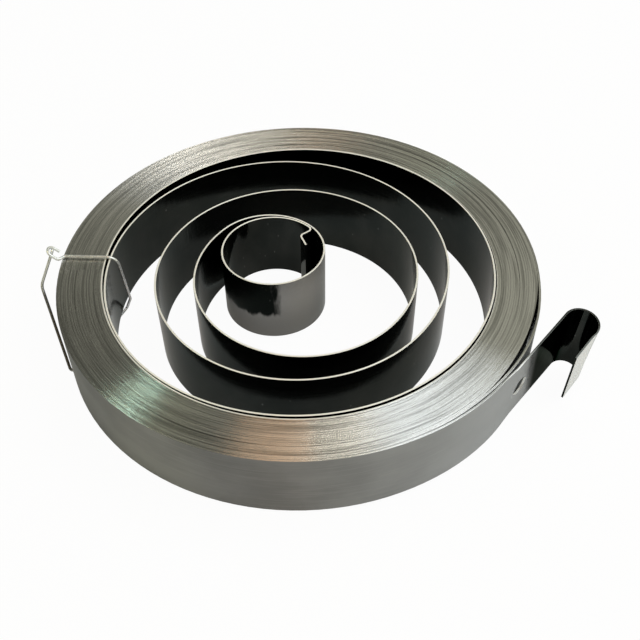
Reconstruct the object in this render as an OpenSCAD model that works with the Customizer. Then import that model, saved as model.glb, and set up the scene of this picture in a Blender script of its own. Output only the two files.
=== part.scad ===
// Power spring: a flat strip of spring steel wound into a tight pack.
// Inside the pack a few open turns lead to an eye with a folded tip, which grips the arbor.
// Outside it, a straight tail with a hole ends in a hook. A bent wire clip keeps the pack closed.
// The origin is on the eye's axis at the strip's lower edge, and +Z runs up across the strip's width.
// Seen from above, the strip winds anticlockwise from the eye to the tail.
// It is one piece of steel, shared out here between four solids that meet end to end.

/* [Strip] */
// Width of the strip, which is the height of the coil
strip_w = 25; // [15:1:50]
// Thickness of the strip
strip_t = 0.65; // [0.4:0.05:1]
// Gap between turns that lie against each other
turn_gap = 0.1; // [0.1:0.05:0.3]

/* [Eye] */
// Inside radius of the eye, which goes over the arbor
eye_r = 17; // [12:0.25:20]
// How far the eye's curve runs on to the folded tip, in degrees
tip_run = 7; // [2:1:20]
// Angle of the fold that turns the tip into the eye
tip_fold = 97; // [60:1:110]
// Inside radius of the two folds at the tip
tip_fold_r = 1.2; // [0.8:0.1:3]
// Straight leg between the two folds
tip_leg = 2.4; // [1:0.1:5]
// Angle of the fold that turns the lip back along the eye
lip_fold = 76; // [40:1:90]
// Length of the lip at the very end of the strip
lip_len = 4.4; // [2:0.1:8]

/* [Open turns] */
// Inside bend radius of the quarter turn that leaves the eye
leaving_r = 20; // [20:0.25:26]
// Inside bend radius of each quarter of the first open turn
first_turn = [36.75, 36.5, 41.75, 43.75]; // [32:0.25:50]
// Inside bend radius of each quarter of the second open turn
second_turn = [45.75, 48.75, 55.5, 57.25]; // [44:0.25:64]
// How much less than the pack's radius each bend radius of the three quarters that lead into it is
third_turn = [4.5, 0, 1]; // [0:0.25:12]

/* [Pack] */
// Inside radius of the pack where it starts
pack_r = 66; // [64:0.25:80]
// Number of turns in the pack
pack_turns = 20; // [6:1:30]

/* [Tail] */
// Direction from the pack's centre to the place where the tail leaves it
tail_angle = -42; // [-60:1:-30]
// Straight length of the tail, from the pack to the hook
tail_len = 35.5; // [25:0.5:60]
// Diameter of the hole in the tail
hole_d = 7; // [4:0.5:12]
// Distance from the start of the tail to the hole's axis
hole_from_pack = 12; // [8:0.5:18]
// Inside radius of the hook
hook_r = 4.8; // [3:0.1:10]
// Straight leg of the hook, after its half turn
hook_leg = 10; // [5:0.5:25]

/* [Wire clip] */
// Diameter of the wire
wire_d = 1; // [0.6:0.1:2]
// Clearance between the wire and the strip, and between strands of the wire
wire_gap = 0.15; // [0.1:0.05:0.3]
// Direction of the wire's run across the top of the pack
wire_angle = 175; // [165:1:185]
// How far the strand inside the pack bows away from the turns
wire_bow = 2.5; // [0.5:0.1:6]
// How far below the top of the strip that bow is widest
bow_drop = 10; // [4:0.5:16]
// Bend radius of the bow, at the wire's middle
bow_bend_r = 6; // [2:0.5:12]
// How far round the pack the inside strand leans back on its way down, in degrees
bow_lean = 2; // [0:0.5:6]
// How far the run under the pack slants round it, in degrees
wire_slant = 22; // [5:1:25]
// How far the strand outside the pack stands off at its knee
wire_knee = 7.5; // [4:0.1:15]
// How far below the top of the strip the knee is
knee_drop = 7; // [3:0.5:14]
// How far round the pack the knee lies from the top run, in degrees
knee_lean = 5; // [0:0.5:10]
// Bend radius of the knee, at the wire's middle
knee_bend_r = 3.6; // [1.2:0.1:8]
// Length of the wire's loop
loop_len = 4.4; // [4:0.1:8]
// Width of the wire's loop between the middles of its strands
loop_w = 3.8; // [3.5:0.1:6]
// Bend radius of the loop's far end, at the wire's middle, just under half the loop's width
loop_bend_r = 1.8; // [1:0.1:3]
// Angle at which the loop rises from the top of the pack
loop_rise = 34; // [10:1:60]
// Distance along the loop at which the hook goes through it
hook_at = 2.4; // [1.5:0.1:4]
// Length of the end that is folded back on itself to make the hook
hook_back = 8; // [4:0.5:9]
// Bend radius of the wire where it goes round the pack, at its middle
wire_bend_r = 1.2; // [1.2:0.1:4]

/* [Hidden] */
fine = 240;
// The strip is laid out to a thousandth of a millimetre, so that its bends meet face to face
function snap(x) = round(x * 1000) / 1000;
t = snap(strip_t);
w = snap(strip_w);
// Each half turn of a tight winding is larger than the one before by half a turn's pitch
half_pitch = snap((strip_t + turn_gap) / 2);
half_turns = 2 * pack_turns - 1;

// Every bend of the strip from the eye to the tail, as its inside radius and its sweep
bends = concat(
    [[eye_r, 180], [eye_r + half_pitch, 180], [leaving_r, 90]],
    [for (r = concat(first_turn, second_turn)) [r, 90]],
    [for (less = third_turn) [pack_r - less, 90]],
    [for (i = [0:half_turns - 1]) [pack_r + i * half_pitch, 180]],
    [[pack_r + half_turns * half_pitch, 90]]
);
// Places in that list: the bend that leaves the eye, the one beside the wire, the pack's first and its last
leaving_bend = 2;
wired_bend = leaving_bend + 1 + len(first_turn) + len(second_turn);
first_pack_bend = wired_bend + len(third_turn);
last_bend = len(bends) - 1;

function along(a) = [cos(a), sin(a)];
// Bends that follow each other share a tangent, so each centre lies on the last one's end radius
function laid(i = 0, centre = [0, 0], start = 90) =
    let(r = snap(bends[i][0]), sweep = bends[i][1], end = start + sweep)
    let(next_r = i < last_bend ? snap(bends[i + 1][0]) : r)
    concat(
        [[centre, r, start, sweep]],
        i < last_bend ? laid(i + 1, centre + (r - next_r) * along(end), end) : []
    );
course = laid();
function centre_of(bend) = course[bend][0];
function radius_of(bend) = course[bend][1];

// A place on the strip's middle line is [x, y, heading]
function ahead(p, d) = [p.x + d * cos(p.z), p.y + d * sin(p.z), p.z];
function turned(p, r, a) =
    let(side = a > 0 ? 90 : -90)
    let(c = [p.x, p.y] + r * along(p.z + side))
    let(q = c + r * along(p.z - side + a))
    [q.x, q.y, p.z + a];
function swept(p, r, a, steps) = [for (i = [0:steps]) turned(p, r, a * i / steps)];
function beside(p, d) = [p.x, p.y] + d * along(p.z + 90);
function last(list) = list[len(list) - 1];
// Closed outline of a strip along a list of places
function outline(path) = concat(
    [for (p = path) beside(p, t / 2)],
    [for (i = [len(path) - 1:-1:0]) beside(path[i], -t / 2)]
);

fold_steps = 12;
tip_start = [0, snap(eye_r) + t / 2, 0];
tip_curve = swept(tip_start, eye_r + t / 2, -tip_run, 4);
tip_turn_in = swept(last(tip_curve), tip_fold_r + t / 2, -tip_fold, fold_steps);
tip_turn_back = swept(ahead(last(tip_turn_in), tip_leg), tip_fold_r + t / 2, lip_fold, fold_steps);
tip_path = concat(tip_curve, tip_turn_in, tip_turn_back, [ahead(last(tip_turn_back), lip_len)]);

// The tail starts where the last bend ends, on that bend's +X side
tail_x = centre_of(last_bend).x + radius_of(last_bend);
tail_y = centre_of(last_bend).y;
hook_x = tail_x + t + snap(hook_r);
hook_y = tail_y + snap(tail_len);

// The wire clip is laid out in the finished position, round the pack's centre
function turn_to_rest(p) = [
    p.x * cos(tail_angle) - p.y * sin(tail_angle),
    p.x * sin(tail_angle) + p.y * cos(tail_angle)
];
pack_c = turn_to_rest(centre_of(last_bend));
// Distance from the pack's centre to a circle of radius r about another centre, in a given direction
function reach(centre, r, a) =
    let(d = turn_to_rest(centre) - pack_c, k = d * along(a))
    k + sqrt(r * r - d * d + k * k);
// The wire lies against whichever of the two bends beside it reaches further in
function inside_face(a) = min(
    reach(centre_of(wired_bend), radius_of(wired_bend), a),
    reach(centre_of(first_pack_bend), radius_of(first_pack_bend), a)
);
outside_face = radius_of(last_bend) + t;
// A run lies far enough off the pack for its bends to clear the pack's edges by the wire's clearance
wire_reach = wire_d / 2 + wire_gap;
seat = max(wire_reach, wire_bend_r - (wire_bend_r - wire_reach) / sqrt(2));
strand_pitch = wire_d + wire_gap;
wire_top = w + seat;
wire_bottom = -seat;
slant_start = wire_angle - bow_lean;
slant_end = wire_angle + wire_slant;

function unit(v) = v / norm(v);
function spot(a, r, z) = let(p = pack_c + r * along(a)) [p.x, p.y, z];
// The loop lies in a plane that rises outwards from the pack's rim
loop_side = concat(along(wire_angle + 90), 0);
loop_out = concat(cos(loop_rise) * along(wire_angle), sin(loop_rise));
loop_base = spot(wire_angle, outside_face + wire_d, wire_top);
function on_loop(far, side) = loop_base + far * loop_out + side * loop_side;
hook_tip = on_loop(hook_at, 0) + [0, 0, wire_d];
knee = spot(wire_angle + knee_lean, outside_face + wire_knee, w - knee_drop);
hook_fall = unit(knee - hook_tip);
hook_side = unit(cross(hook_fall, loop_side));
hook_start = hook_tip - hook_side * strand_pitch;

// Corners of the wire's route, each with the radius that rounds it
wire_route = [
    [on_loop(wire_d / 2, -loop_w / 2), 0],
    [on_loop(loop_len, -loop_w / 2), loop_bend_r],
    [on_loop(loop_len, loop_w / 2), loop_bend_r],
    [on_loop(0, loop_w / 2), wire_bend_r],
    [spot(wire_angle, outside_face - wire_d, wire_top), wire_bend_r],
    [spot(wire_angle, inside_face(wire_angle) - seat, wire_top), wire_bend_r],
    [spot(slant_start, inside_face(wire_angle) - seat - wire_bow, w - bow_drop), bow_bend_r],
    [spot(slant_start, inside_face(slant_start) - seat, wire_bottom), wire_bend_r],
    [spot(slant_end, outside_face + seat, wire_bottom), wire_bend_r],
    [knee, knee_bend_r],
    [hook_tip, strand_pitch / 2],
    [hook_start, strand_pitch / 2],
    [hook_start + hook_fall * hook_back, 0]
];
corner_steps = 8;
// Points round one corner of the route, on an arc that touches both of its runs
function corner(a, b, c, r) =
    let(u = unit(a - b), v = unit(c - b), half = acos(u * v) / 2)
    let(centre = b + unit(u + v) * r / sin(half))
    let(x = unit(b + u * r / tan(half) - centre), y = unit(b - centre - x * ((b - centre) * x)))
    [for (i = [0:corner_steps])
        let(s = (180 - 2 * half) * i / corner_steps) centre + r * (cos(s) * x + sin(s) * y)];
wire_points = concat(
    [wire_route[0][0]],
    [for (i = [1:len(wire_route) - 2])
        each corner(wire_route[i - 1][0], wire_route[i][0], wire_route[i + 1][0], wire_route[i][1])],
    [last(wire_route)[0]]
);

// Sweeps a round section along a list of points, turning it as little as it can
tube_sides = 10;
function heading(points, i) =
    unit(points[min(i + 1, len(points) - 1)] - points[max(i - 1, 0)]);
function squared(v, h) = unit(v - h * (v * h));
function frames(points, i = 0, before = [0.3, 0.5, 0.8]) =
    let(h = heading(points, i), side = squared(before, h))
    concat([[side, cross(h, side)]], i < len(points) - 1 ? frames(points, i + 1, side) : []);
module tube(points, d) {
    turns = frames(points);
    rings = [for (i = [0:len(points) - 1]) for (k = [0:tube_sides - 1])
        let(a = 360 * k / tube_sides)
        points[i] + d / 2 * (cos(a) * turns[i][0] + sin(a) * turns[i][1])];
    walls = [for (i = [0:len(points) - 2]) for (k = [0:tube_sides - 1])
        let(a = i * tube_sides + k, b = i * tube_sides + (k + 1) % tube_sides)
        each [[a, a + tube_sides, b], [b, a + tube_sides, b + tube_sides]]];
    first_end = [for (k = [0:tube_sides - 1]) k];
    last_ring = (len(points) - 1) * tube_sides;
    last_end = [for (k = [tube_sides - 1:-1:0]) last_ring + k];
    polyhedron(rings, concat(walls, [first_end, last_end]));
}

// One bend of a strip, round its own centre
module bend(centre, r, start, sweep) {
    translate(centre)
        rotate(start)
            rotate_extrude(angle = sweep, $fn = fine)
                translate([r, 0])
                    square([t, w]);
}

// Bends that follow each other along the strip
module run_of_bends(first, final) {
    for (i = [first:final])
        bend(centre_of(i), radius_of(i), course[i][2], course[i][3]);
}

// Folded tip inside the eye, which catches in the arbor's slot
module tip() {
    linear_extrude(w)
        polygon(outline(tip_path));
}

// Straight tail, its hook and the hook's leg
module tail() {
    translate([tail_x, tail_y, 0])
        cube([t, snap(tail_len), w]);
    bend([hook_x, hook_y], snap(hook_r), 0, 180);
    translate([hook_x + snap(hook_r), hook_y - snap(hook_leg), 0])
        cube([t, snap(hook_leg), w]);
}

// Hole through the tail alone, which ends short of the pack behind it
module tail_hole() {
    translate([tail_x - turn_gap, tail_y + hole_from_pack, w / 2])
        rotate([0, 90, 0])
            cylinder(h = t + 2 * turn_gap, d = hole_d, $fn = 96);
}

module spring_eye() {
    color("slategray")
        rotate(tail_angle) {
            tip();
            run_of_bends(0, leaving_bend - 1);
        }
}

module open_turns() {
    color("slategray")
        rotate(tail_angle)
            run_of_bends(leaving_bend, first_pack_bend - 1);
}

module spring_pack() {
    color("slategray")
        rotate(tail_angle)
            run_of_bends(first_pack_bend, last_bend);
}

module spring_tail() {
    color("slategray")
        rotate(tail_angle)
            difference() {
                tail();
                tail_hole();
            }
}

module retaining_wire() {
    color("silver")
        tube(wire_points, wire_d);
}

spring_eye();
open_turns();
spring_pack();
spring_tail();
retaining_wire();
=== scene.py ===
"""Looks of a power spring: one strip of spring steel, coiled from a small eye out to a tight pack,
and the wire clip that keeps the pack closed.

The strip and the wire are both swept along their courses, worked out from the same sizes as the
part's source. The turns of the pack lie a little unevenly, and the tail is slightly twisted, as on
the real spring.
"""

import math
from types import SimpleNamespace

import bpy
from mathutils import Matrix, Vector, noise


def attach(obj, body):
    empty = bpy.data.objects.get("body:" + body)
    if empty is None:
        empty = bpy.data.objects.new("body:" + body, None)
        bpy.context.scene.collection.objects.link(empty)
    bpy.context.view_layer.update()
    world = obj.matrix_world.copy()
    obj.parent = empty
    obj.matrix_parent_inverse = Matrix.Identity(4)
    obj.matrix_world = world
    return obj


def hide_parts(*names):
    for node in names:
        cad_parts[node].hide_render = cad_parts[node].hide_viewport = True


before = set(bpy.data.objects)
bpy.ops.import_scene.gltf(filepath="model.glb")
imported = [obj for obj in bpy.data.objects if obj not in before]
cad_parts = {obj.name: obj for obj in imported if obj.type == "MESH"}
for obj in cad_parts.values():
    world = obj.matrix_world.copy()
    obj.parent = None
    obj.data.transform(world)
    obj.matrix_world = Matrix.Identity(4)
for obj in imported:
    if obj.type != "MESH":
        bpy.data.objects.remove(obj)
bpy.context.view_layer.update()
MM = 0.001

# Strip, in millimetres
STRIP_W = 25.0
STRIP_T = 0.65
EDGE_R = 0.12
TURN_GAP = 0.1
HALF_PITCH = (STRIP_T + TURN_GAP) / 2

# Strip as it lies pressed in the pack, with finely ridged edges
PRESSED_T = 0.69
EDGE_RIDGES = 3
RIDGE_DEPTH = 0.0334

# Eye and folded tip, in millimetres and degrees
EYE_R = 17.0
TIP_RUN = 7.0
TIP_FOLD = 97.0
TIP_FOLD_R = 1.2
TIP_LEG = 2.4
LIP_FOLD = 76.0
LIP_LEN = 4.4

# Inside bend radii of the open turns, a quarter turn each
LEAVING_R = 20.0
FIRST_TURN = (36.75, 36.5, 41.75, 43.75)
SECOND_TURN = (45.75, 48.75, 55.5, 57.25)
THIRD_TURN = (61.5, 66.0, 65.0)

# Pack
PACK_R = 66.0
PACK_TURNS = 20
PACK_AXIS = Vector((9.21, -7.70, 0.0))

# How the pack's turns lie off their true spiral, in millimetres, turns and degrees
WAVER = 0.05
LIFT = 0.16
FINE_LIFT = 0.08
LIFT_TAKE_UP = 0.3
LIFT_LET_DOWN = 0.15
CRESCENT_AT = -28.0
STAND_OFF = 0.6
STAND_OFF_REACH = 22.0
STAND_OFF_FROM = 18.5
STAND_OFF_TO = 19.0
PRESS_IN = 0.7
PRESS_IN_REACH = 24.0
PRESS_IN_TO = 18.4
PRESS_IN_WHOLE = 18.0

# Tail and hook, in millimetres and degrees
TAIL_ANGLE = -42.0
TAIL_EARLY = 1.0
TAIL_STAND = 0.3
TAIL_STAND_TURNS = 0.08
TAIL_LEN = 35.5
TAIL_TAKE_UP = 10.0
TAIL_RISE = 5.1
TAIL_LEAN = 2.4
HOLE_D = 7.0
HOLE_FROM_PACK = 12.0
HOOK_R = 4.8
HOOK_LEG = 10.0
HOOK_DROP = 0.08
LIP_LEAN = 2.4

# Wire clip, in millimetres and degrees
WIRE_D = 1.0
WIRE_GAP = 0.15
WIRE_ANGLE = 175.7
WIRE_BEND_R = 1.2
WIRE_SLANT = 21.3
BOW_TOP = 1.2
BOW_TOP_R = 3.6
BOW_FOOT = 2.1
BOW_FOOT_Z = 4.0
BOW_FOOT_R = 1.6
BOW_LEAN = 2.0
KNEE_OUT = 7.5
KNEE_DROP = 7.0
KNEE_LEAN = 4.3
KNEE_BEND_R = 3.6
LOOP_LEN = 4.4
LOOP_W = 3.8
LOOP_BEND_R = 1.8
LOOP_RISE = 42.0
HOOK_AT = 2.4
HOOK_BACK = 8.0
HOOK_BEHIND = Vector((-0.3, 0.65, -0.7))

# Fineness of the sweeps: degrees between points of the bends, and counts of steps
OPEN_STEP = 2.0
PACK_STEP = 3.0
TAIL_STEPS = 24
HOOK_STEPS = 36
HOOK_LEG_STEPS = 8
DRILL_SIDES = 64
WIRE_SIDES = 20
WIRE_BEND_STEPS = 10
SHARP_ANGLE = 50.0

# Radius at which the strip is rolled out for its marks, in millimetres
ROLLED_R = 75.0

# Where the finishes and the painted light and shade change, between two radii in millimetres, the eye's
# from its own axis
EYE_ENDS = (20.0, 18.5)
FREE_EDGES_END = (66.9, 66.2)
OUTSIDE_STARTS = (80.0, 80.5)
# The satin ends on the tail, where the dark face stands in as painted shade from the hook
OUTSIDE_ENDS = (84.4, 83.0)
PACK_WALL_ENDS = (82.0, 81.7)
TAIL_EDGE_STARTS = (81.9, 84.2)
TAIL_SHADE_STARTS = (83.0, 84.4)

# Where marks and painted light and shade begin and end: heights, distances to one side, and distances
# from the tail and its hole
# Heights over which the eye's painted reflection grows lighter
EYE_REFLECTION_GRADES = (4.0, 21.0)
# Painted dark reflection on the upper left of the eye: its side, its height and its ragged border
DARK_REFLECTION_LEFT = (2.0, -2.0)
DARK_REFLECTION_ABOVE = (12.5, 15.0)
DARK_REFLECTION_RAGGED = 7.0
SATIN_LIGHTENS_ACROSS = (-10.0, 75.0)
LIP_STARTS = (7.0, 9.0)
HOLE_GLARE_ENDS = (4.5, 4.2)
# Where the wire's painted dark reflection lies: left of the pack and low down
WIRE_REFLECTION_LEFT = (-68.0, -70.0)
WIRE_REFLECTION_BELOW = (20.0, 16.0)

# Colours, a pair where a colour is clouded or graded; some stand for painted light and shade, as marked
DARK_FACE = ((0.024, 0.028, 0.026, 1), (0.036, 0.039, 0.036, 1))
# Eye's outside: a painted reflection of the lit floor, lighter higher up
EYE_PAINTED_REFLECTION = ((0.18, 0.178, 0.17, 1), (0.3, 0.295, 0.285, 1))
# Near black: a painted dark reflection of the turn beside the eye
PAINTED_DARK_REFLECTION = (0.006, 0.008, 0.007, 1)
SATIN = ((0.205, 0.206, 0.206, 1), (0.27, 0.271, 0.271, 1))
SATIN_STREAK = (0.36, 0.361, 0.361, 1)
SATIN_LIGHTER_RIGHT = (0.56, 0.575, 0.595, 1)
# Near white: bare metal in part, and painted glare on the hook's lip and at the hole
BARE_AND_PAINTED_GLARE = (0.93, 0.95, 0.98, 1)
SPECK = (0.30, 0.30, 0.29, 1)
SLIT_TONE_AND_SHADE = ((0.38, 0.38, 0.37, 1), (0.69, 0.69, 0.68, 1))
FREE_EDGE = (0.95, 0.94, 0.91, 1)
TAIL_EDGE = (0.08, 0.085, 0.08, 1)
# Sheen of the faces, turned down on the tail as painted shade from the hook
SHEEN_AND_TAIL_SHADE = ((0.72, 0.74, 0.73, 1), (0.3, 0.31, 0.3, 1))
BRIGHT_WIRE = ((0.78, 0.80, 0.81, 1), (0.86, 0.88, 0.89, 1))
# Painted dark reflection on the wire's strand down the pack's outside
WIRE_DARK_REFLECTION = (0.09, 0.09, 0.088, 1)
FLOOR = ((0.88, 0.88, 0.88, 1), (0.92, 0.92, 0.92, 1))
ROOM = (1.0, 0.985, 0.80, 1)
WHITE = (1, 1, 1, 1)

# Studio, in metres
FLOOR_REACH = 12.0
FLOOR_GAP = 0.0001
CEILING = 0.9

# Camera fitted to the photograph: lens in pixels, place in pack radii from its axis, aim in radians
PICTURE = 640
CAMERA_LENS = 895.66
CAMERA_UNIT = 81.25
CAMERA_PLACE = Vector((0, -2.7713, 2.8341))
CAMERA_YAW = 0.0304
CAMERA_PITCH = 0.8026
CAMERA_ROLL = -0.0077
SENSOR_W = 36.0


# Course of the strip

def along(degrees):
    """Unit vector in plan at an angle from +X."""
    a = math.radians(degrees)
    return Vector((math.cos(a), math.sin(a)))


def bump(x, middle, reach):
    """Smooth hump of height 1 at the middle that falls to 0 at its reach."""
    away = min(1.0, abs(x - middle) / reach)
    return (1 - away * away) ** 2


def eased(x, reach):
    """Straight ramp that starts level and takes up its slope over a given reach."""
    return max(0.0, x) ** 2 / (2 * reach) if x < reach else x - reach / 2


def open_bends():
    """Bends of the eye and the open turns, as inside radius and sweep."""
    eye = [(EYE_R, 180), (EYE_R + HALF_PITCH, 180), (LEAVING_R, 90)]
    return eye + [(r, 90) for r in FIRST_TURN + SECOND_TURN + THIRD_TURN]


def pack_bends():
    """Bends of the pack, half a turn each, with a last one that ends at the tail."""
    half_turns = 2 * PACK_TURNS - 1
    rows = [(PACK_R + i * HALF_PITCH, 180) for i in range(half_turns)]
    return rows + [(PACK_R + half_turns * HALF_PITCH, 90 - TAIL_EARLY)]


FIRST_PACK_BEND = len(open_bends())


def course():
    """Bends in place: centre, inside radius, start angle, sweep, and turns of the pack before it.

    The turns are None for a bend that isn't in the pack.
    """
    placed = []
    centre = Vector((0, 0))
    start = 90.0 + TAIL_ANGLE
    turns = 0.0
    for i, (r, sweep) in enumerate(open_bends() + pack_bends()):
        if placed:
            centre = centre + (placed[-1][1] - r) * along(start)
        in_pack = i >= FIRST_PACK_BEND
        placed.append((centre, r, start, sweep, turns if in_pack else None))
        start += sweep
        if in_pack:
            turns += sweep / 360
    return placed


COURSE = course()
LAST_CENTRE, LAST_R, LAST_START, LAST_SWEEP, LAST_TURNS = COURSE[-1]
OUTSIDE_R = LAST_R + STRIP_T
WHOLE_TURNS = LAST_TURNS + LAST_SWEEP / 360
TAIL_OUT = along(LAST_START + LAST_SWEEP)
TAIL_AHEAD = along(LAST_START + LAST_SWEEP + 90)
TAIL_START = LAST_CENTRE + (LAST_R + STRIP_T / 2 + TAIL_STAND) * TAIL_OUT
HOLE_PLACE = (*(TAIL_START + HOLE_FROM_PACK * TAIL_AHEAD), STRIP_W / 2)


def drift(turns, pace, row):
    """Smooth uneven drift along the turns, within about 1 either way. Each row is another drift."""
    return noise.noise(Vector((turns * pace, *row)))


def lie_of_turn(turns, angle):
    """How a turn of the pack lies off its true spiral: outwards and upwards, in millimetres."""
    angle = (angle + 180) % 360 - 180
    out = WAVER * drift(turns, 2.3, (4.1, 0.7))
    up = LIFT * drift(turns, 1.7, (9.3, 2.2)) + FINE_LIFT * drift(turns, 6.1, (1.3, 5.2))
    out += TAIL_STAND * bump(turns, WHOLE_TURNS, TAIL_STAND_TURNS)
    # The outermost turn stands off where the tail leaves, and the turns below it are pressed in a little
    if STAND_OFF_FROM < turns < STAND_OFF_TO:
        out += STAND_OFF * bump(angle, CRESCENT_AT, STAND_OFF_REACH)
    if turns < PRESS_IN_TO:
        out -= PRESS_IN * (turns / PRESS_IN_WHOLE) ** 4 * bump(angle, CRESCENT_AT, PRESS_IN_REACH)
    fade = min(1.0, turns / LIFT_TAKE_UP, (WHOLE_TURNS - turns) / LIFT_LET_DOWN)
    return out, up * fade


def folded_tip():
    """Middle line of the tip from the end of its lip to the start of the eye."""
    heading = 0.0
    place = Vector((0, EYE_R + STRIP_T / 2))
    line = [place]

    def turn(radius, sweep, steps):
        """Bend on from the last place, to the left for a sweep above 0."""
        nonlocal heading, place
        side = 90 if sweep > 0 else -90
        centre = place + radius * along(heading + side)
        for i in range(1, steps + 1):
            line.append(centre + radius * along(heading - side + sweep * i / steps))
        heading += sweep
        place = line[-1]

    def run(length, steps):
        """Straight on from the last place."""
        nonlocal place
        for i in range(1, steps + 1):
            line.append(place + length * i / steps * along(heading))
        place = line[-1]

    turn(EYE_R + STRIP_T / 2, -TIP_RUN, steps=3)
    turn(TIP_FOLD_R + STRIP_T / 2, -TIP_FOLD, steps=10)
    run(TIP_LEG, steps=2)
    turn(TIP_FOLD_R + STRIP_T / 2, LIP_FOLD, steps=10)
    run(LIP_LEN, steps=3)
    turned = Matrix.Rotation(math.radians(TAIL_ANGLE), 2)
    return [turned @ p for p in reversed(line)]


def bent_line(rows):
    """Middle line along a run of bends, with the way the turns of the pack lie."""
    line = []
    for centre, r, start, sweep, turns in rows:
        # A bend starts on the last point of the bend before it, so that point is dropped
        line = line[:-1]
        count = round(sweep / (OPEN_STEP if turns is None else PACK_STEP))
        for i in range(count + 1):
            done = sweep * i / count
            out, up = (0.0, 0.0) if turns is None else lie_of_turn(turns + done / 360, start + done)
            p = centre + (r + STRIP_T / 2 + out) * along(start + done)
            line.append((p.x, p.y, STRIP_W / 2 + up))
    return line


def coil_lines():
    """Middle lines of the open turns, with the folded tip, and of the pack."""
    tip = [(p.x, p.y, STRIP_W / 2) for p in folded_tip()[:-1]]
    return tip + bent_line(COURSE[:FIRST_PACK_BEND]), bent_line(COURSE[FIRST_PACK_BEND:])


def tail_course():
    """Places in plan along the tail and its hook, each with its distance along the strip."""
    radius = HOOK_R + STRIP_T / 2
    middle = TAIL_START + TAIL_LEN * TAIL_AHEAD + radius * TAIL_OUT
    places = []
    for i in range(TAIL_STEPS + 1):
        s = TAIL_LEN * i / TAIL_STEPS
        places.append((TAIL_START + s * TAIL_AHEAD, s))
    for i in range(1, HOOK_STEPS + 1):
        a = math.radians(180 * i / HOOK_STEPS)
        place = middle + radius * (math.sin(a) * TAIL_AHEAD - math.cos(a) * TAIL_OUT)
        places.append((place, TAIL_LEN + radius * a))
    bend_end, bend_s = places[-1]
    for i in range(1, HOOK_LEG_STEPS + 1):
        d = HOOK_LEG * i / HOOK_LEG_STEPS
        places.append((bend_end - d * TAIL_AHEAD, bend_s + d))
    return places


def tail_line():
    """Middle line of the tail and its hook, with the tilt that leans them outwards at the top."""
    slope = math.tan(math.radians(TAIL_RISE))
    bend_len = math.pi * (HOOK_R + STRIP_T / 2)
    line = []
    tilts = []
    for place, s in tail_course():
        past_tail = max(0.0, s - TAIL_LEN)
        reach = (place - TAIL_START).dot(TAIL_AHEAD)
        rise = slope * eased(reach, TAIL_TAKE_UP) - HOOK_DROP * past_tail
        line.append((place.x, place.y, STRIP_W / 2 + rise))
        taken_up = 1 - bump(s, 0, TAIL_TAKE_UP)
        bent = min(1.0, past_tail / bend_len)
        lean = TAIL_LEAN * taken_up * math.cos(math.pi * bent) - LIP_LEAN * bent
        tilts.append(math.radians(lean))
    return line, tilts


# Route of the wire clip

def reach_to(centre, r, degrees):
    """Distance from the pack's centre to a circle about another centre, in a given direction."""
    d = centre - LAST_CENTRE
    k = d.dot(along(degrees))
    return k + math.sqrt(r * r - d.dot(d) + k * k)


def spot(degrees, r, z):
    """Place at an angle and a distance from the pack's centre, at a height."""
    p = LAST_CENTRE + r * along(degrees)
    return Vector((p.x, p.y, z))


def wire_route():
    """Corners of the wire's route, from the loop to the folded-back end, and their rounding radii."""
    # The inside strand lies beside the first bend of the third turn
    centre, r = COURSE[FIRST_PACK_BEND - len(THIRD_TURN)][:2]
    wire_reach = WIRE_D / 2 + WIRE_GAP
    seat = max(wire_reach, WIRE_BEND_R - (WIRE_BEND_R - wire_reach) / math.sqrt(2))
    pitch = WIRE_D + WIRE_GAP
    top = STRIP_W + seat
    foot = -seat
    lean_back = WIRE_ANGLE - BOW_LEAN
    side = along(WIRE_ANGLE + 90).to_3d()
    rise = math.radians(LOOP_RISE)
    out = (math.cos(rise) * along(WIRE_ANGLE)).to_3d() + Vector((0, 0, math.sin(rise)))
    base = spot(WIRE_ANGLE, OUTSIDE_R + WIRE_D, top)
    inside = reach_to(centre, r, WIRE_ANGLE) - seat
    tip = base + HOOK_AT * out + Vector((0, 0, WIRE_D))
    knee = spot(WIRE_ANGLE + KNEE_LEAN, OUTSIDE_R + KNEE_OUT, STRIP_W - KNEE_DROP)
    fall = (knee - tip).normalized()
    back = tip + (HOOK_BEHIND - HOOK_BEHIND.dot(fall) * fall).normalized() * pitch
    return [
        (base + WIRE_D / 2 * out - LOOP_W / 2 * side, 0),
        (base + LOOP_LEN * out - LOOP_W / 2 * side, LOOP_BEND_R),
        (base + LOOP_LEN * out + LOOP_W / 2 * side, LOOP_BEND_R),
        (base + LOOP_W / 2 * side, WIRE_BEND_R),
        (spot(WIRE_ANGLE, OUTSIDE_R - WIRE_D, top), WIRE_BEND_R),
        (spot(WIRE_ANGLE, inside - BOW_TOP, top), BOW_TOP_R),
        (spot(lean_back, inside - BOW_FOOT, BOW_FOOT_Z), BOW_FOOT_R),
        (spot(lean_back, reach_to(centre, r, lean_back) - seat, foot), WIRE_BEND_R),
        (spot(WIRE_ANGLE + WIRE_SLANT, OUTSIDE_R + seat, foot), WIRE_BEND_R),
        (knee, KNEE_BEND_R),
        (tip, pitch / 2),
        (back, pitch / 2),
        (back + fall * HOOK_BACK, 0),
    ]


# Node helpers

def feed(tree, socket, value):
    """Gives an input a link or a plain value."""
    if isinstance(value, bpy.types.NodeSocket):
        tree.links.new(value, socket)
    else:
        socket.default_value = value


def set_inputs(tree, node, values):
    """Gives each named input of a node its link or value."""
    for name, value in values.items():
        feed(tree, node.inputs[name], value)


def add(tree, kind, inputs=None, **settings):
    """New node with its settings, and with the inputs that are named."""
    n = tree.nodes.new(kind)
    for name, value in settings.items():
        setattr(n, name, value)
    set_inputs(tree, n, inputs or {})
    return n


def calc(tree, operation, *values):
    """Result of a math node on single values."""
    return add(tree, "ShaderNodeMath", dict(enumerate(values)), operation=operation).outputs[0]


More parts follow.
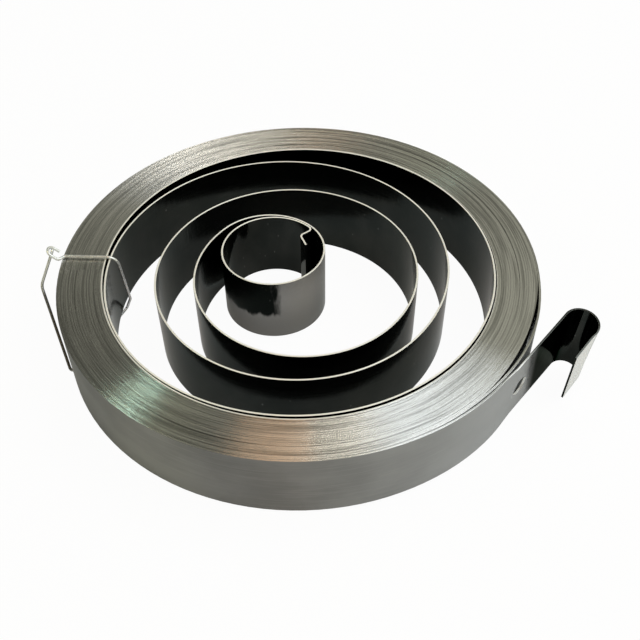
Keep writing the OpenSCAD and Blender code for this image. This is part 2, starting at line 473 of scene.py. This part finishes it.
def both(tree, a, b):
    """Product of two values, or where two masks overlap."""
    return calc(tree, "MULTIPLY", a, b)


def either(tree, a, b):
    """Where one mask or the other is."""
    return calc(tree, "MAXIMUM", a, b)


def vector_calc(tree, operation, *values):
    """Result of a math node on vectors."""
    n = add(tree, "ShaderNodeVectorMath", dict(enumerate(values)), operation=operation)
    return n.outputs["Value" if operation in ("LENGTH", "DOT_PRODUCT") else "Vector"]


def scaled(tree, vector, by):
    """Vector with each part multiplied."""
    return vector_calc(tree, "MULTIPLY", vector, by)


def dot(tree, a, b):
    """Dot product of two vectors."""
    return vector_calc(tree, "DOT_PRODUCT", a, b)


def split(tree, vector):
    """X, Y and Z of a vector."""
    return add(tree, "ShaderNodeSeparateXYZ", {0: vector}).outputs


def joined(tree, x, y, z):
    """Vector from its three parts."""
    return add(tree, "ShaderNodeCombineXYZ", {0: x, 1: y, 2: z}).outputs[0]


def ramp(tree, value, low, high, to_low=0.0, to_high=1.0):
    """Smooth step of a value between two limits."""
    inputs = {"Value": value, "From Min": low, "From Max": high, "To Min": to_low, "To Max": to_high}
    return add(tree, "ShaderNodeMapRange", inputs, interpolation_type="SMOOTHSTEP").outputs["Result"]


def blend(tree, factor, a, b):
    """Colour between two others."""
    return add(tree, "ShaderNodeMix", {0: factor, 6: a, 7: b}, data_type="RGBA").outputs[2]


def grain(tree, vector, scale, detail=2.0, roughness=0.5):
    """Value of a noise at a place."""
    inputs = {"Vector": vector, "Scale": scale, "Detail": detail, "Roughness": roughness}
    return add(tree, "ShaderNodeTexNoise", inputs).outputs["Fac"]


def object_place(tree):
    """Place on the object, in metres."""
    return add(tree, "ShaderNodeTexCoord").outputs["Object"]


def new_material(name):
    """New material with its node tree and its surface node."""
    m = bpy.data.materials.new(name)
    m.use_nodes = True
    return m, m.node_tree, m.node_tree.nodes["Principled BSDF"]


# Finish of the strip

def strip_places(tree):
    """What the finish is worked out from: places in millimetres, directions and broad marks."""
    at = SimpleNamespace()
    at.place = vector_calc(tree, "DIVIDE", object_place(tree), (MM, MM, MM))
    parts = split(tree, vector_calc(tree, "SUBTRACT", at.place, tuple(PACK_AXIS)))
    flat = joined(tree, parts["X"], parts["Y"], 0.0)
    at.x = parts["X"]
    at.z = parts["Z"]
    at.radius = vector_calc(tree, "LENGTH", flat)
    at.angle = calc(tree, "ARCTAN2", parts["Y"], parts["X"])
    at.normal = add(tree, "ShaderNodeNewGeometry").outputs["Normal"]
    at.around = vector_calc(tree, "NORMALIZE", vector_calc(tree, "CROSS_PRODUCT", (0, 0, 1), flat))
    at.outward = dot(tree, vector_calc(tree, "NORMALIZE", flat), at.normal)
    # Rolled out: x along the strip, y across it, z from turn to turn
    at.rolled = joined(tree, both(tree, at.angle, ROLLED_R), at.z, at.radius)
    at.cloud = grain(tree, scaled(tree, at.rolled, (1.0, 1.4, 0.3)), 0.05, 4.0)
    at.streak = grain(tree, scaled(tree, at.rolled, (0.035, 1.0, 0.5)), 1.6, 4.0, 0.6)
    return at


def strip_regions(tree, at):
    """Masks of the edges, the outsides of the eye and the pack, the hook's lip, and the hole."""
    on = SimpleNamespace()
    on.edge = ramp(tree, calc(tree, "ABSOLUTE", split(tree, at.normal)["Z"]), 0.35, 0.8)
    on.free_edge = both(tree, ramp(tree, at.radius, *FREE_EDGES_END), on.edge)

    about_eye = scaled(tree, at.place, (1, 1, 0))
    near_eye = ramp(tree, vector_calc(tree, "LENGTH", about_eye), *EYE_ENDS)
    on.eye = both(tree, near_eye, ramp(tree, dot(tree, about_eye, at.normal), 0.0, 8.0))

    outside = both(tree, ramp(tree, at.radius, *OUTSIDE_STARTS), ramp(tree, at.outward, 0.2, 0.5))
    # Past the pack's outside the satin gives way to the dark face on the tail: painted shade from the
    # hook
    on.outside = both(tree, outside, ramp(tree, at.radius, *OUTSIDE_ENDS))

    tail_out = (*TAIL_OUT, 0)
    faces_out = dot(tree, at.normal, tail_out)
    off_tail = dot(tree, vector_calc(tree, "SUBTRACT", at.place, (*TAIL_START, 0)), tail_out)
    # The hook's lip: bare polished metal, made near white as a painted glare
    on.lip = both(tree, ramp(tree, off_tail, *LIP_STARTS), ramp(tree, faces_out, 0.2, 0.6))

    # The hole's cut wall, and the pack's wall that shows through it, painted bright: bare cut steel and a
    # painted glare for the white floor seen through the gap
    from_hole = vector_calc(tree, "LENGTH", vector_calc(tree, "SUBTRACT", at.place, HOLE_PLACE))
    cut = ramp(tree, calc(tree, "ABSOLUTE", faces_out), 0.6, 0.3)
    wall_behind = ramp(tree, at.radius, *PACK_WALL_ENDS)
    on.hole = both(tree, ramp(tree, from_hole, *HOLE_GLARE_ENDS), either(tree, cut, wall_behind))
    return on


def dark_reflection_patch(tree, at):
    """Mask of a painted dark reflection with a ragged border over the upper left of the eye."""
    ragged = both(tree, grain(tree, scaled(tree, at.place, (1.0, 1.0, 0.3)), 0.45, 3.0), DARK_REFLECTION_RAGGED)
    left = ramp(tree, calc(tree, "ADD", dot(tree, at.place, (1, 0.3, 0)), ragged), *DARK_REFLECTION_LEFT)
    upper = ramp(tree, calc(tree, "ADD", at.z, ragged), *DARK_REFLECTION_ABOVE)
    return both(tree, left, upper)


def satin_colour(tree, at):
    """Clouded satin with streaks along the strip, lighter towards +X."""
    satin = blend(tree, ramp(tree, at.cloud, 0.3, 0.7), *SATIN)
    streaks = both(tree, ramp(tree, at.streak, 0.45, 0.75), 0.35)
    lighter_right = both(tree, ramp(tree, at.x, *SATIN_LIGHTENS_ACROSS), 0.5)
    return blend(tree, lighter_right, blend(tree, streaks, satin, SATIN_STREAK), SATIN_LIGHTER_RIGHT)


def specks(tree, at):
    """Mask of a few faint specks."""
    spots = add(tree, "ShaderNodeTexVoronoi", {"Vector": at.rolled, "Scale": 0.22}, feature="F1").outputs
    speck = ramp(tree, spots["Distance"], 0.05, 0.13, 1.0, 0.0)
    chosen = ramp(tree, split(tree, spots["Color"])["X"], 0.7, 0.72)
    return both(tree, both(tree, speck, chosen), 0.25)


def face_colour(tree, at, on):
    """Faces: dark inside the coil, lighter on the eye as a painted reflection, satin outside, and near
    white on the hook's lip and hole, partly bare metal and partly painted glare.
    """
    face = blend(tree, ramp(tree, at.cloud, 0.3, 0.7), *DARK_FACE)
    # Painted reflection: the eye's outside lighter, and lighter higher up
    eye = blend(tree, ramp(tree, at.z, *EYE_REFLECTION_GRADES), *EYE_PAINTED_REFLECTION)
    face = blend(tree, on.eye, face, eye)
    # Painted dark reflection over the upper left of the eye
    face = blend(tree, both(tree, on.eye, dark_reflection_patch(tree, at)), face, PAINTED_DARK_REFLECTION)
    face = blend(tree, on.outside, face, satin_colour(tree, at))
    face = blend(tree, either(tree, on.lip, on.hole), face, BARE_AND_PAINTED_GLARE)
    return blend(tree, specks(tree, at), face, SPECK)


def edge_colour(tree, at, on):
    """Slit edges: wavy lines where the turns lie together, partly tone and partly painted shade between
    the turns, bright where free, dark on the tail.
    """
    sway = both(tree, grain(tree, scaled(tree, at.rolled, (1.0, 0.0, 0.2)), 0.03), 1.6)
    wavy = joined(tree, both(tree, at.angle, 1.5), 0.0, calc(tree, "ADD", at.radius, sway))
    # Wavy lines of the pack's edges: partly their own tone, partly painted shade between the turns
    lines = grain(tree, wavy, 1.1, 2.5, 0.65)
    slit = blend(tree, ramp(tree, lines, 0.32, 0.58), *SLIT_TONE_AND_SHADE)
    slit = blend(tree, on.free_edge, slit, FREE_EDGE)
    return blend(tree, ramp(tree, at.radius, *TAIL_EDGE_STARTS), slit, TAIL_EDGE)


def strip_roughness(tree, at, on):
    """Polished faces, rougher on the pack's outside and the eye, and brushed edges."""
    face = ramp(tree, at.streak, 0.3, 0.75, 0.06, 0.11)
    face = calc(tree, "ADD", face, both(tree, on.outside, 0.25))
    face = calc(tree, "ADD", face, both(tree, on.eye, 0.08))
    edge = ramp(tree, on.free_edge, 0.0, 1.0, 0.25, 0.4)
    return add(tree, "ShaderNodeMix", {0: on.edge, 2: face, 3: edge}, data_type="FLOAT").outputs[0]


def strip_dents(tree, at, on):
    """Normal of the faces with faint dents, which the edges don't have."""
    dents = grain(tree, scaled(tree, at.rolled, (1.0, 0.35, 0.4)), 0.55, 3.0, 0.55)
    strength = both(tree, calc(tree, "SUBTRACT", 1.0, on.edge), 0.05)
    inputs = {"Strength": strength, "Distance": 0.0004, "Height": dents}
    return add(tree, "ShaderNodeBump", inputs).outputs[0]


def spring_steel():
    """Dark polished faces, satin outside, and bright slit edges whose lines run along the strip."""
    m, tree, bsdf = new_material("spring steel")
    at = strip_places(tree)
    on = strip_regions(tree, at)
    # Painted glare: the lip and the hole near white and barely metallic, so that the lamps light them
    bare_and_glare = either(tree, on.hole, both(tree, on.lip, 0.8))
    set_inputs(tree, bsdf, {
        "Base Color": blend(tree, on.edge, face_colour(tree, at, on), edge_colour(tree, at, on)),
        "Roughness": strip_roughness(tree, at, on),
        "Metallic": ramp(tree, either(tree, on.free_edge, bare_and_glare), 0.0, 1.0, 1.0, 0.1),
        "Anisotropic": 1.0,
        "Tangent": vector_calc(tree, "CROSS_PRODUCT", at.around, at.normal),
        "Normal": strip_dents(tree, at, on),
        # Sheen turned down on the tail: painted shade from the hook
        "Specular Tint": blend(tree, ramp(tree, at.radius, *TAIL_SHADE_STARTS), *SHEEN_AND_TAIL_SHADE),
    })
    return m


# Finishes of the wire and the floor

def drawn_wire():
    """Bright drawn wire with faint clouding, and a painted dark reflection low on the pack's outside."""
    m, tree, bsdf = new_material("drawn wire")
    place = object_place(tree)
    parts = split(tree, vector_calc(tree, "DIVIDE", place, (MM, MM, MM)))
    # Painted dark reflection on the strand low down on the pack's outside
    left = ramp(tree, parts["X"], *WIRE_REFLECTION_LEFT)
    painted_dark = both(tree, left, ramp(tree, parts["Z"], *WIRE_REFLECTION_BELOW))
    bright = blend(tree, ramp(tree, grain(tree, place, 160.0), 0.35, 0.65), *BRIGHT_WIRE)
    set_inputs(tree, bsdf, {
        "Base Color": blend(tree, painted_dark, bright, WIRE_DARK_REFLECTION),
        "Roughness": ramp(tree, grain(tree, place, 420.0), 0.3, 0.7, 0.26, 0.29),
        "Metallic": 0.65,
    })
    return m


def white_floor():
    """White floor that stays white to the eye and in the metal, and keeps a light shadow."""
    m, tree, bsdf = new_material("white floor")
    set_inputs(tree, bsdf, {
        "Base Color": blend(tree, grain(tree, object_place(tree), 40.0, 3.0), *FLOOR),
        "Roughness": 0.9,
        "Specular IOR Level": 0.0,
    })
    glow = add(tree, "ShaderNodeEmission", {"Color": WHITE, "Strength": 1.0})
    rays = add(tree, "ShaderNodeLightPath").outputs
    mirrored = either(tree, rays["Is Glossy Ray"], rays["Is Transmission Ray"])
    seen = either(tree, both(tree, rays["Is Camera Ray"], 0.96), both(tree, mirrored, 0.3))
    mix = add(tree, "ShaderNodeMixShader", {0: seen, 1: bsdf.outputs[0], 2: glow.outputs[0]})
    tree.links.new(mix.outputs[0], tree.nodes["Material Output"].inputs["Surface"])
    return m


# Sweeps

def path_object(name, lines):
    """Curve object with one straight-sided line per list of (place, tilt, radius)."""
    curve = bpy.data.curves.new(name, "CURVE")
    curve.dimensions = "3D"
    for line in lines:
        spline = curve.splines.new("POLY")
        spline.points.add(len(line) - 1)
        for point, (place, tilt, radius) in zip(spline.points, line):
            point.co = (*(c * MM for c in place), 1)
            point.tilt = tilt
            point.radius = radius
    obj = bpy.data.objects.new(name, curve)
    bpy.context.collection.objects.link(obj)
    return obj


def section_object(name, edge):
    """Closed outline of a strip's section from the half of it round one edge, x through its thickness."""
    section = path_object(name, [[((p.x, p.y, 0), 0, 1) for p in edge + [-p for p in edge]]])
    section.data.splines[0].use_cyclic_u = True
    return section


def free_section():
    """Section of the strip where it stands free: flat edges with rounded corners."""
    corner = Vector((STRIP_T / 2 - EDGE_R, STRIP_W / 2 - EDGE_R))
    right = [corner + EDGE_R * along(22.5 * i) for i in range(5)]
    left = [Vector((-p.x, p.y)) for p in reversed(right)]
    # A point close below each corner keeps the smooth shading of the corner off the face
    below = Vector((0, -0.1))
    return section_object("free section", [right[0] + below] + right + left + [left[-1] + below])


def pressed_section():
    """Section of the strip in the pack: thicker, so that less gap shows, with finely ridged edges."""
    quarters = 4 * EDGE_RIDGES
    edge = []
    for i in range(quarters + 1):
        across = PRESSED_T * (0.5 - i / quarters)
        sunk = RIDGE_DEPTH / 2 * (1 + math.cos(i * math.pi / 2))
        edge.append(Vector((across, STRIP_W / 2 - sunk)))
    return section_object("pressed section", edge)


def new_tree(name, sockets):
    """Geometry tree with a geometry input and output and named inputs."""
    tree = bpy.data.node_groups.new(name, "GeometryNodeTree")
    tree.is_modifier = True
    tree.interface.new_socket("Geometry", in_out="INPUT", socket_type="NodeSocketGeometry")
    for socket, kind in sockets.items():
        tree.interface.new_socket(socket, in_out="INPUT", socket_type=f"NodeSocket{kind}")
    tree.interface.new_socket("Geometry", in_out="OUTPUT", socket_type="NodeSocketGeometry")
    return tree, add(tree, "NodeGroupInput").outputs


def close_tree(tree, mesh, material):
    """Ends a geometry tree with a smooth mesh in one material."""
    smooth = add(tree, "GeometryNodeSetShadeSmooth", {"Geometry": mesh})
    real = add(tree, "GeometryNodeRealizeInstances", {"Geometry": smooth.outputs[0]})
    done = add(tree, "GeometryNodeSetMaterial", {"Geometry": real.outputs[0], "Material": material})
    add(tree, "NodeGroupOutput", {"Geometry": done.outputs[0]})


def strip_tree():
    """Sweeps the strip's sections along the open turns, the pack and the tail, and drills the tail."""
    tree, given = new_tree("strip along its course", {
        "Free Section": "Object",
        "Pressed Section": "Object",
        "Hole Diameter": "Float",
        "Hole Place": "Vector",
        "Hole Turn": "Rotation",
        "Finish": "Material",
    })
    lines = {"Curve": given["Geometry"]}
    upright = add(tree, "GeometryNodeSetCurveNormal", lines, mode="Z_UP").outputs[0]
    index = add(tree, "GeometryNodeInputIndex").outputs[0]

    def sweep(number, section):
        """Mesh of one line of the course, with the section that it has."""
        same = {"data_type": "INT", "operation": "EQUAL"}
        chosen = add(tree, "FunctionNodeCompare", {2: index, 3: number}, **same).outputs[0]
        picked = {"Geometry": upright, "Selection": chosen}
        line = add(tree, "GeometryNodeSeparateGeometry", picked, domain="CURVE").outputs[0]
        outline = add(tree, "GeometryNodeObjectInfo", {"Object": given[section]}).outputs["Geometry"]
        inputs = {"Curve": line, "Profile Curve": outline, "Fill Caps": True}
        return add(tree, "GeometryNodeCurveToMesh", inputs).outputs[0]

    drill = add(tree, "GeometryNodeMeshCylinder", {
        "Vertices": DRILL_SIDES,
        "Depth": 8 * STRIP_T * MM,
        "Radius": both(tree, given["Hole Diameter"], 0.5),
    })
    placed = add(tree, "GeometryNodeTransform", {
        "Geometry": drill.outputs[0],
        "Translation": given["Hole Place"],
        "Rotation": given["Hole Turn"],
    })
    drilled = add(tree, "GeometryNodeMeshBoolean", operation="DIFFERENCE", solver="EXACT")
    tree.links.new(sweep(2, "Free Section"), drilled.inputs["Mesh 1"])
    tree.links.new(placed.outputs[0], drilled.inputs["Mesh 2"])
    whole = add(tree, "GeometryNodeJoinGeometry")
    for mesh in (sweep(0, "Free Section"), sweep(1, "Pressed Section"), drilled.outputs[0]):
        tree.links.new(mesh, whole.inputs[0])
    close_tree(tree, whole.outputs[0], given["Finish"])
    return tree


def wire_tree():
    """Rounds the corners of a route and sweeps a round wire along it."""
    tree, given = new_tree("wire along its route", {"Diameter": "Float", "Finish": "Material"})
    bent = add(tree, "GeometryNodeFilletCurve", {
        "Curve": given["Geometry"],
        "Count": WIRE_BEND_STEPS,
        "Radius": add(tree, "GeometryNodeInputRadius").outputs[0],
        "Limit Radius": True,
    }, mode="POLY")
    ring = add(tree, "GeometryNodeCurvePrimitiveCircle", {"Resolution": WIRE_SIDES}, mode="RADIUS")
    feed(tree, ring.inputs["Radius"], both(tree, given["Diameter"], 0.5))
    inputs = {"Curve": bent.outputs[0], "Profile Curve": ring.outputs[0], "Fill Caps": True}
    swept = add(tree, "GeometryNodeCurveToMesh", inputs)
    close_tree(tree, swept.outputs[0], given["Finish"])
    return tree


def grown(name, path, tree, values):
    """Plain mesh object from a path and a tree with its inputs set."""
    modifier = path.modifiers.new(tree.name, "NODES")
    modifier.node_group = tree
    for item in tree.interface.items_tree:
        if item.in_out == "INPUT" and item.name in values:
            modifier[item.identifier] = values[item.name]
    ready = path.evaluated_get(bpy.context.evaluated_depsgraph_get())
    mesh = bpy.data.meshes.new_from_object(ready)
    mesh.name = name
    mesh.set_sharp_from_angle(angle=math.radians(SHARP_ANGLE))
    path.modifiers.clear()
    bpy.data.objects.remove(path)
    piece = bpy.data.objects.new(name, mesh)
    bpy.context.collection.objects.link(piece)
    return piece


# Pieces

def make_strip(finish):
    """The whole strip, from the folded tip to the hook."""
    open_turns, pack = coil_lines()
    tail, tilts = tail_line()
    lines = [[(p, 0, 1) for p in open_turns], [(p, 0, 1) for p in pack]]
    lines.append([(p, tilt, 1) for p, tilt in zip(tail, tilts)])
    path = path_object("strip course", lines)
    free = free_section()
    pressed = pressed_section()
    step = HOLE_FROM_PACK / (TAIL_LEN / TAIL_STEPS)
    hole = Vector(tail[int(step)]).lerp(Vector(tail[int(step) + 1]), step % 1)
    turn = TAIL_OUT.to_3d().to_track_quat("Z", "Y").to_euler()
    piece = grown("coiled_strip", path, strip_tree(), {
        "Free Section": free,
        "Pressed Section": pressed,
        "Hole Diameter": HOLE_D * MM,
        "Hole Place": tuple(hole * MM),
        "Hole Turn": tuple(turn),
        "Finish": finish,
    })
    for section in (free, pressed):
        bpy.data.objects.remove(section)
    return piece


def make_wire(finish):
    """The wire clip round the pack."""
    path = path_object("wire route", [[(p, 0, r * MM) for p, r in wire_route()]])
    return grown("wire_clip", path, wire_tree(), {"Diameter": WIRE_D * MM, "Finish": finish})


# Studio

def make_floor(level):
    """Wide white floor at a given height."""
    corners = ((-1, -1), (1, -1), (1, 1), (-1, 1))
    mesh = bpy.data.meshes.new("floor")
    mesh.from_pydata([(x * FLOOR_REACH, y * FLOOR_REACH, level) for x, y in corners], [], [(0, 1, 2, 3)])
    mesh.materials.append(white_floor())
    floor = bpy.data.objects.new("floor", mesh)
    bpy.context.collection.objects.link(floor)


def ceiling_panel(name, across, deep, brightness):
    """Lamp panel under the ceiling, over two spans in metres from the pack's axis.

    The brightness is one number for each of red, green and blue.
    """
    data = bpy.data.lights.new(name, "AREA")
    data.shape = "RECTANGLE"
    data.size = across[1] - across[0]
    data.size_y = deep[1] - deep[0]
    strength = max(brightness)
    data.color = [b / strength for b in brightness]
    data.energy = strength * math.pi * data.size * data.size_y
    lamp = bpy.data.objects.new(name, data)
    over = Vector((sum(across) / 2, sum(deep) / 2, CEILING))
    lamp.location = PACK_AXIS * MM + Vector((0, 0, STRIP_W * MM)) + over
    bpy.context.collection.objects.link(lamp)


def set_camera():
    """Camera that matches the photograph: its place, aim and roll come from the pack's two rims."""
    place = (PACK_AXIS + CAMERA_UNIT * CAMERA_PLACE) * MM
    level = math.cos(CAMERA_PITCH)
    sideways = math.sin(CAMERA_YAW) * level
    ahead = math.cos(CAMERA_YAW) * level
    forward = Vector((sideways, ahead, -math.sin(CAMERA_PITCH)))
    flat_right = forward.cross(Vector((0, 0, 1))).normalized()
    flat_up = flat_right.cross(forward)
    right = math.cos(CAMERA_ROLL) * flat_right + math.sin(CAMERA_ROLL) * flat_up
    upward = math.cos(CAMERA_ROLL) * flat_up - math.sin(CAMERA_ROLL) * flat_right
    data = bpy.data.cameras.new("camera")
    data.sensor_width = SENSOR_W
    data.lens = CAMERA_LENS / PICTURE * SENSOR_W
    data.clip_start = 0.01
    camera = bpy.data.objects.new("camera", data)
    turned = Matrix((right, upward, -forward)).transposed().to_4x4()
    camera.matrix_world = Matrix.Translation(place) @ turned
    bpy.context.collection.objects.link(camera)
    bpy.context.scene.camera = camera


def set_world():
    """Dim room round the spring, brighter to the right and low down, and white behind it to the eye."""
    world = bpy.data.worlds.new("room")
    world.use_nodes = True
    tree = world.node_tree
    toward = split(tree, add(tree, "ShaderNodeTexCoord").outputs["Generated"])
    to_right = ramp(tree, toward["X"], -0.7, 0.7, 0.0, 0.57)
    low_down = ramp(tree, toward["Z"], 0.1, 0.4, 0.4, 0.0)
    room = tree.nodes["Background"]
    set_inputs(tree, room, {"Color": ROOM, "Strength": calc(tree, "ADD", to_right, low_down)})
    behind = add(tree, "ShaderNodeBackground", {"Color": WHITE, "Strength": 1.0})
    eye = add(tree, "ShaderNodeLightPath").outputs["Is Camera Ray"]
    mix = add(tree, "ShaderNodeMixShader", {0: eye, 1: room.outputs[0], 2: behind.outputs[0]})
    tree.links.new(mix.outputs[0], tree.nodes["World Output"].inputs["Surface"])
    bpy.context.scene.world = world


# The object

strip = make_strip(spring_steel())
wire = make_wire(drawn_wire())
strip_nodes = ("spring_eye", "open_turns", "spring_pack", "spring_tail")
pieces = ((strip, strip_nodes, "spring_steel"), (wire, ("retaining_wire",), "wire_steel"))
for piece, nodes, slot in pieces:
    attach(piece, "root")
    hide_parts(*nodes)

# Its stage

lowest = min((piece.matrix_world @ v.co).z for piece in (strip, wire) for v in piece.data.vertices)
make_floor(lowest - FLOOR_GAP)
set_world()
ceiling_panel("silver panel", (0.2, 1.3), (-0.45, 0.38), (2.1, 2.25, 2.4))
ceiling_panel("tan panel", (-0.22, 0.02), (-0.9, 0.14), (1.36, 0.76, 0.4))
ceiling_panel("far pale panel", (0.01, 0.12), (0.44, 0.62), (6.4, 5.9, 5.1))
ceiling_panel("green panel", (-1.24, -0.92), (-1.0, 0.09), (5.2, 5.2, 3.2))
ceiling_panel("far green panel", (-0.54, -0.45), (0.24, 0.41), (4.3, 6.7, 5.6))
set_camera()
bpy.context.scene.view_settings.view_transform = "Standard"
